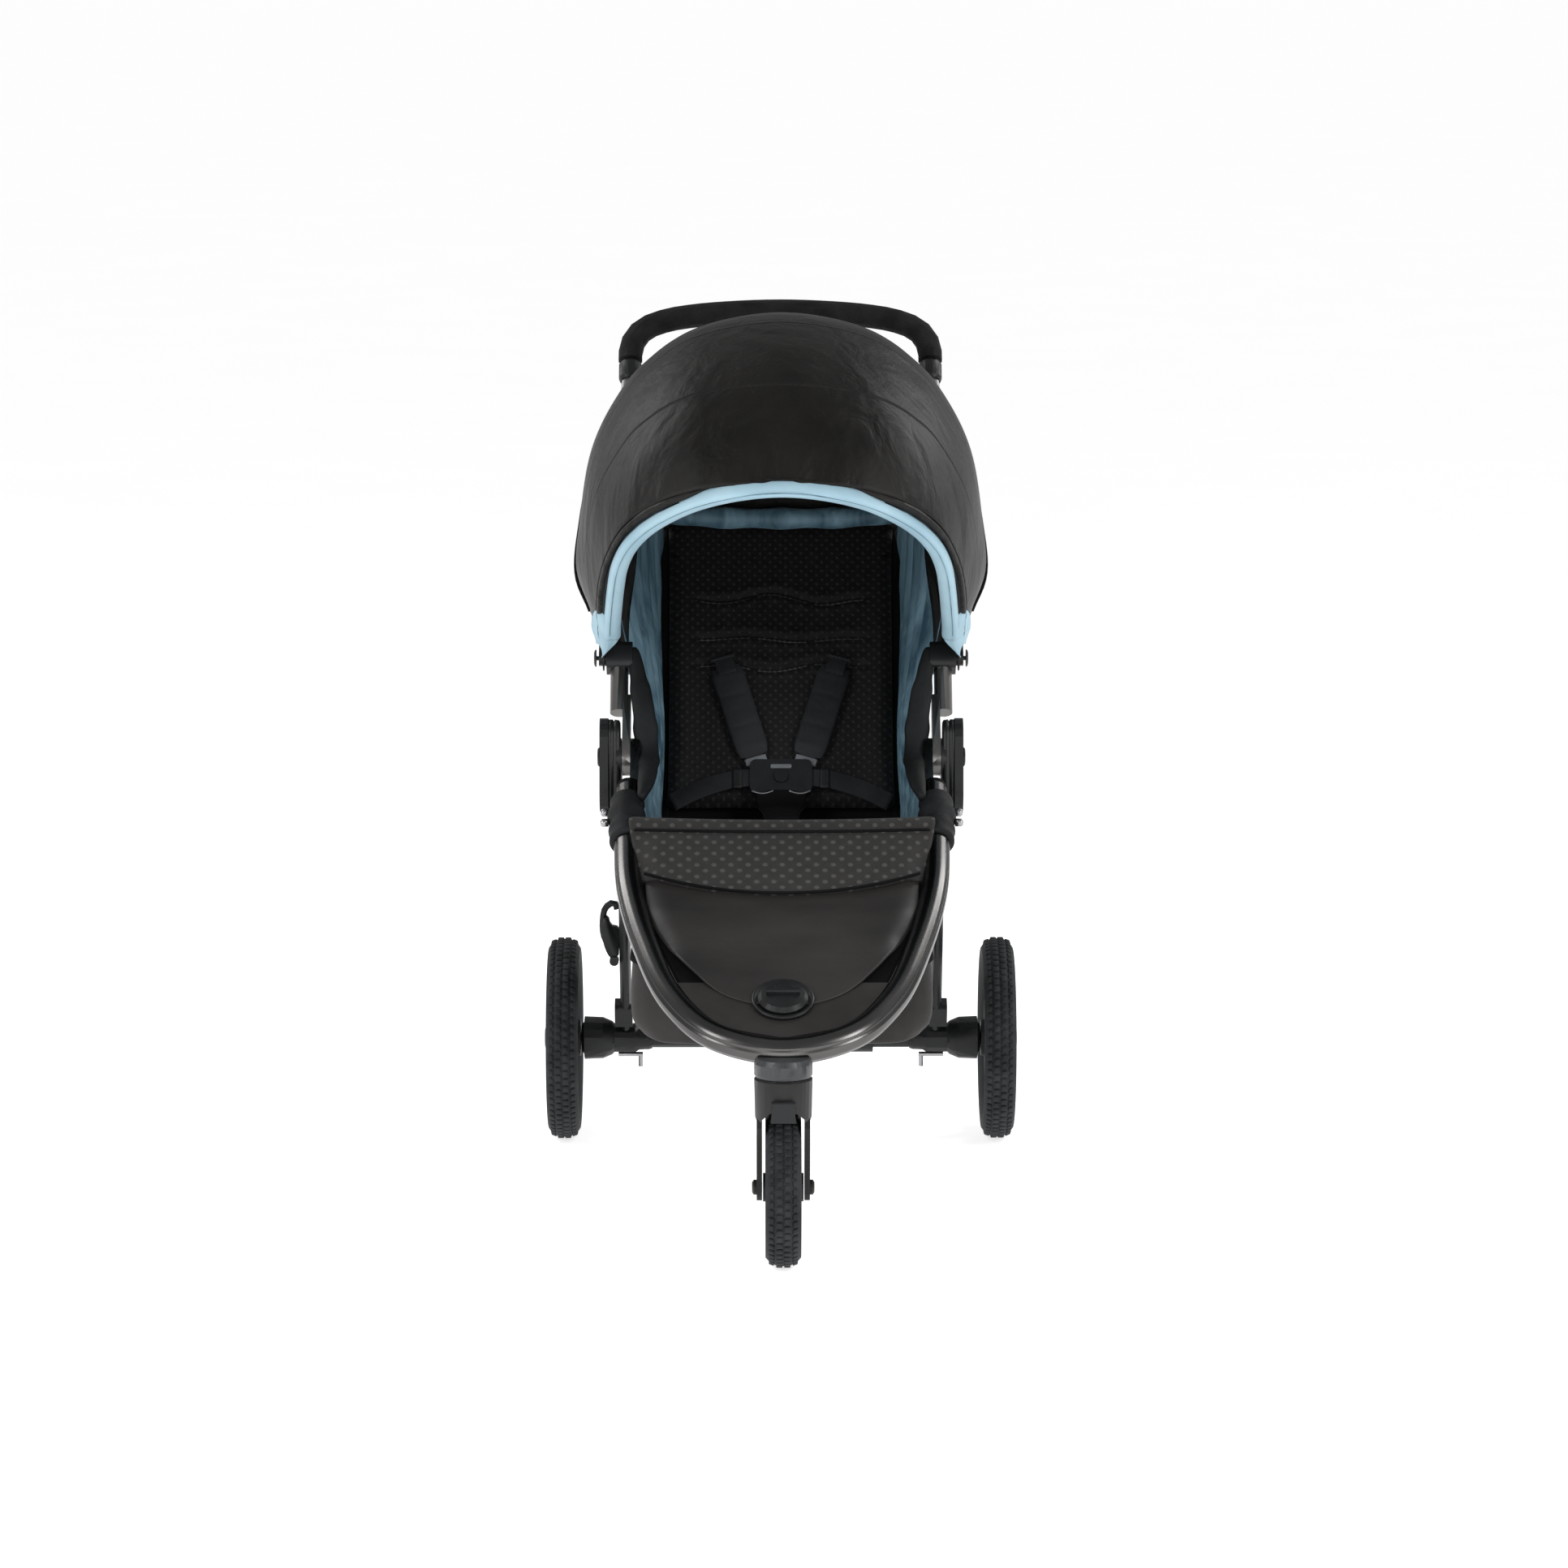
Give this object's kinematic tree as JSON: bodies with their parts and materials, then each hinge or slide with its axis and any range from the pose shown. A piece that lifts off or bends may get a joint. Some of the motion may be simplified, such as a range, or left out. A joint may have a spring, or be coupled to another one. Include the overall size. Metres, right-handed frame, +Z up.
{
  "type": "jogging stroller",
  "caption": "Three-wheel jogging stroller with folding frame, telescoping handle, folding canopy, padded seat with harness, footrest, basket and swivelling front wheel.",
  "frame": {"origin": "middle of the bounding box at floor level", "axes": "+Z up, front toward -Y, +X to the right when looking along +Y"},
  "size_m": [0.616, 0.9944, 1.0878],
  "materials": {
    "frame_tube": "dark anodised, satin",
    "silver_tube": "satin anodised",
    "steel": "zinc plated wire",
    "grip_foam": "matte foam",
    "black_fabric": "woven nylon",
    "blue_fabric": "woven nylon",
    "tyre": "moulded rubber",
    "black_plastic": "fine-grained moulded"
  },
  "bodies": {
    "front_frame": {"front_frame_tube": "frame_tube", "footrest": "black_plastic", "calf_panel": "black_fabric", "seat_front_panel": "black_fabric", "swivel_housing": "black_plastic", "pivot_housing_left": "black_plastic", "pivot_housing_right": "black_plastic", "seat_cuff_left": "black_fabric", "seat_cuff_right": "black_fabric", "seat_base_frame": "frame_tube", "seat_board": "black_plastic", "seat_cushion": "black_fabric", "side_panel_left": "blue_fabric", "side_panel_right": "blue_fabric", "storage_basket": "black_fabric"},
    "upper_frame": {"upper_tube_left": "silver_tube", "upper_tube_right": "silver_tube", "height_collar_left": "black_plastic", "height_collar_right": "black_plastic", "canopy_bracket_left": "black_plastic", "canopy_bracket_right": "black_plastic", "canopy_pivot_left": "black_plastic", "canopy_pivot_right": "black_plastic", "canopy_rear_hoop": "black_plastic", "canopy_rear_panel": "black_fabric"},
    "handle": {"handle_tube": "silver_tube", "handle_grip": "grip_foam"},
    "canopy_middle": {"canopy_mid_hoop": "black_plastic", "canopy_rear_cloth": "black_fabric"},
    "canopy_discs": {"canopy_disc_left": "steel", "canopy_disc_right": "steel"},
    "canopy_front": {"canopy_front_hoop": "black_plastic", "canopy_front_cloth": "black_fabric", "canopy_front_band": "blue_fabric"},
    "rear_frame": {"rear_leg_left": "frame_tube", "rear_leg_right": "frame_tube", "axle_casting_left": "black_plastic", "axle_casting_right": "black_plastic", "rear_axle_tube": "frame_tube"},
    "rear_wheel_left": {"rear_tyre_left": "tyre", "rear_rim_left": "black_plastic"},
    "rear_wheel_right": {"rear_tyre_right": "tyre", "rear_rim_right": "black_plastic"},
    "release_pin_left": {"wheel_release_pin_left": "steel"},
    "release_pin_right": {"wheel_release_pin_right": "steel"},
    "brake": {"brake_pedal": "black_plastic"},
    "latch": {"fold_latch_hook": "black_plastic"},
    "seat_hinge": {"seat_hinge_sleeve": "black_plastic"},
    "seat_back": {"seat_back_board": "black_plastic", "seat_back_pad": "black_fabric", "shoulder_pad_left": "black_fabric", "shoulder_pad_right": "black_fabric", "harness_buckle": "black_plastic"},
    "buckle_release": {"buckle_button": "black_plastic"},
    "swivel_lock": {"swivel_lock_knob": "black_plastic"},
    "fork": {"front_fork": "black_plastic"},
    "fork_release": {"fork_lever": "black_plastic"},
    "front_wheel": {"front_rim": "black_plastic", "front_tyre": "tyre"}
  },
  "joints": [
    {"name": "frame_fold", "type": "hinge", "parent": "front_frame", "child": "upper_frame", "pos_m": [0, 0.1075, 0.53], "axis": [1, 0, 0], "range_deg": [0, 126], "deforming": ["side_panel_left", "side_panel_right", "canopy_rear_panel"]},
    {"name": "leg_fold", "type": "hinge", "parent": "front_frame", "child": "rear_frame", "pos_m": [0, 0.1075, 0.53], "axis": [1, 0, 0], "range_deg": [-62, 0]},
    {"name": "canopy_middle_fold", "type": "hinge", "parent": "upper_frame", "child": "canopy_middle", "pos_m": [0, 0.1878, 0.64468], "axis": [1, 0, 0], "range_deg": [-27, 0], "deforming": ["canopy_rear_cloth"]},
    {"name": "canopy_front_tuck", "type": "hinge", "parent": "canopy_middle", "child": "canopy_discs", "pos_m": [0, 0.1878, 0.64468], "axis": [1, 0, 0], "range_deg": [-34, 0]},
    {"name": "canopy_fold", "type": "hinge", "parent": "canopy_discs", "child": "canopy_front", "pos_m": [0, 0.1878, 0.64468], "axis": [1, 0, 0], "range_deg": [-35, 0], "deforming": ["canopy_front_cloth"]},
    {"name": "seat_fold", "type": "hinge", "parent": "front_frame", "child": "seat_hinge", "pos_m": [0, 0.2175, 0.392], "axis": [1, 0, 0], "range_deg": [0, 84], "deforming": ["seat_cushion"]},
    {"name": "seat_recline", "type": "hinge", "parent": "seat_hinge", "child": "seat_back", "pos_m": [0, 0.2175, 0.392], "axis": [1, 0, 0], "range_deg": [-35, 0]},
    {"name": "handle_height", "type": "slide", "parent": "upper_frame", "child": "handle", "axis": [0, 0.5736, 0.8192], "range_m": [0, 0.06]},
    {"name": "fork_swivel", "type": "hinge", "parent": "front_frame", "child": "fork", "pos_m": [0, -0.4325, 0.2], "axis": [0, 0, 1], "continuous": true},
    {"name": "front_wheel_spin", "type": "hinge", "parent": "fork", "child": "front_wheel", "pos_m": [0, -0.4025, 0.095], "axis": [1, 0, 0], "continuous": true},
    {"name": "rear_wheel_left_spin", "type": "hinge", "parent": "rear_frame", "child": "rear_wheel_left", "pos_m": [-0.282, 0.2875, 0.131], "axis": [1, 0, 0], "continuous": true},
    {"name": "rear_wheel_right_spin", "type": "hinge", "parent": "rear_frame", "child": "rear_wheel_right", "pos_m": [0.282, 0.2875, 0.131], "axis": [1, 0, 0], "continuous": true},
    {"name": "swivel_lock_turn", "type": "hinge", "parent": "front_frame", "child": "swivel_lock", "pos_m": [0, -0.34246, 0.30073], "axis": [0, -0.454, 0.891], "range_deg": [0, 90]},
    {"name": "fork_lever_swing", "type": "hinge", "parent": "fork", "child": "fork_release", "pos_m": [0, -0.4709, 0.21], "axis": [1, 0, 0], "range_deg": [-70, 0]},
    {"name": "brake_pedal_press", "type": "hinge", "parent": "rear_frame", "child": "brake", "pos_m": [0.085, 0.2875, 0.131], "axis": [1, 0, 0], "range_deg": [-22, 0]},
    {"name": "latch_hook_swing", "type": "hinge", "parent": "rear_frame", "child": "latch", "pos_m": [-0.2155, 0.23095, 0.24458], "axis": [0, 1, 0], "range_deg": [-45, 0]},
    {"name": "release_pin_left_slide", "type": "slide", "parent": "rear_frame", "child": "release_pin_left", "axis": [1, 0, 0], "range_m": [0, 0.008]},
    {"name": "release_pin_right_slide", "type": "slide", "parent": "rear_frame", "child": "release_pin_right", "axis": [-1, 0, 0], "range_m": [0, 0.008]},
    {"name": "buckle_button_press", "type": "slide", "parent": "seat_back", "child": "buckle_release", "axis": [0, 0.8536, -0.521], "range_m": [0, 0.003], "stiffness_N_per_m": 300}
  ],
  "couplings": [
    {"joint": "leg_fold", "follows": "frame_fold", "ratio": -0.49206},
    {"joint": "canopy_middle_fold", "follows": "frame_fold", "ratio": -0.21428},
    {"joint": "canopy_front_tuck", "follows": "frame_fold", "ratio": -0.26984},
    {"joint": "seat_fold", "follows": "frame_fold", "ratio": 0.66666}
  ]
}
